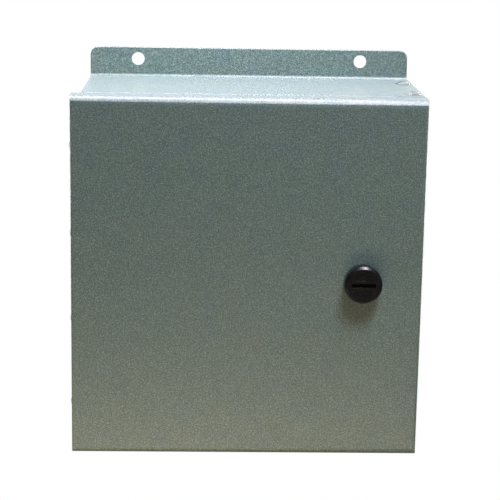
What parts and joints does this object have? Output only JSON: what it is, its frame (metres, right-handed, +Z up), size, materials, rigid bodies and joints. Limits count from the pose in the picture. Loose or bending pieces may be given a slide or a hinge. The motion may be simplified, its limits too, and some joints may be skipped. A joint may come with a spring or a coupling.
{
  "type": "wall-mounted electrical enclosure",
  "caption": "Small folded sheet-steel wall cabinet with a hammer-finish coat, a left-hinged pan door, a black coin-slot quarter-turn knob and drilled wall flanges at top and bottom",
  "frame": {"origin": "centre of the back panel's rear face, on the wall", "axes": "+X to the right seen from the front, +Y into the wall, +Z up; the door faces -Y"},
  "size_m": [0.2042, 0.1101, 0.2476],
  "materials": {
    "cabinet_paint": "grey-green hammer-finish coat, fine speckle, half gloss",
    "rivet_alloy": "bare set rivets",
    "zinc_steel": "bright zinc plate",
    "black_plastic": "moulded black nylon, half gloss"
  },
  "bodies": {
    "cabinet": {"body_wrap": "cabinet_paint", "top_cap": "cabinet_paint", "bottom_cap": "cabinet_paint", "top_rivets": "rivet_alloy", "bottom_rivets": "rivet_alloy", "cap_mandrels": "zinc_steel", "hinge_body_leaf": "zinc_steel", "hinge_pin": "zinc_steel", "hinge_body_rivets": "rivet_alloy", "hinge_body_mandrels": "zinc_steel", "mounting_plate": "zinc_steel", "plate_studs": "zinc_steel", "plate_washers": "zinc_steel", "plate_nuts": "zinc_steel", "ground_stud": "zinc_steel", "ground_washer": "zinc_steel", "ground_nut": "zinc_steel"},
    "door_leaf": {"door": "cabinet_paint", "hinge_door_leaf": "zinc_steel", "hinge_door_rivets": "rivet_alloy", "hinge_door_mandrels": "zinc_steel", "latch_bushing": "black_plastic", "latch_washer": "zinc_steel", "latch_nut": "zinc_steel"},
    "latch": {"latch_knob": "black_plastic", "latch_cam": "zinc_steel", "cam_washer": "zinc_steel", "cam_screw": "zinc_steel"}
  },
  "joints": [
    {"name": "door_swing", "type": "hinge", "parent": "cabinet", "child": "door_leaf", "pos_m": [-0.099, -0.0826, 0], "axis": [0, 0, -1], "range_deg": [0, 120]},
    {"name": "latch_turn", "type": "hinge", "parent": "door_leaf", "child": "latch", "pos_m": [0.0667, -0.1016, 0], "axis": [0, 1, 0], "range_deg": [0, 90]}
  ]
}
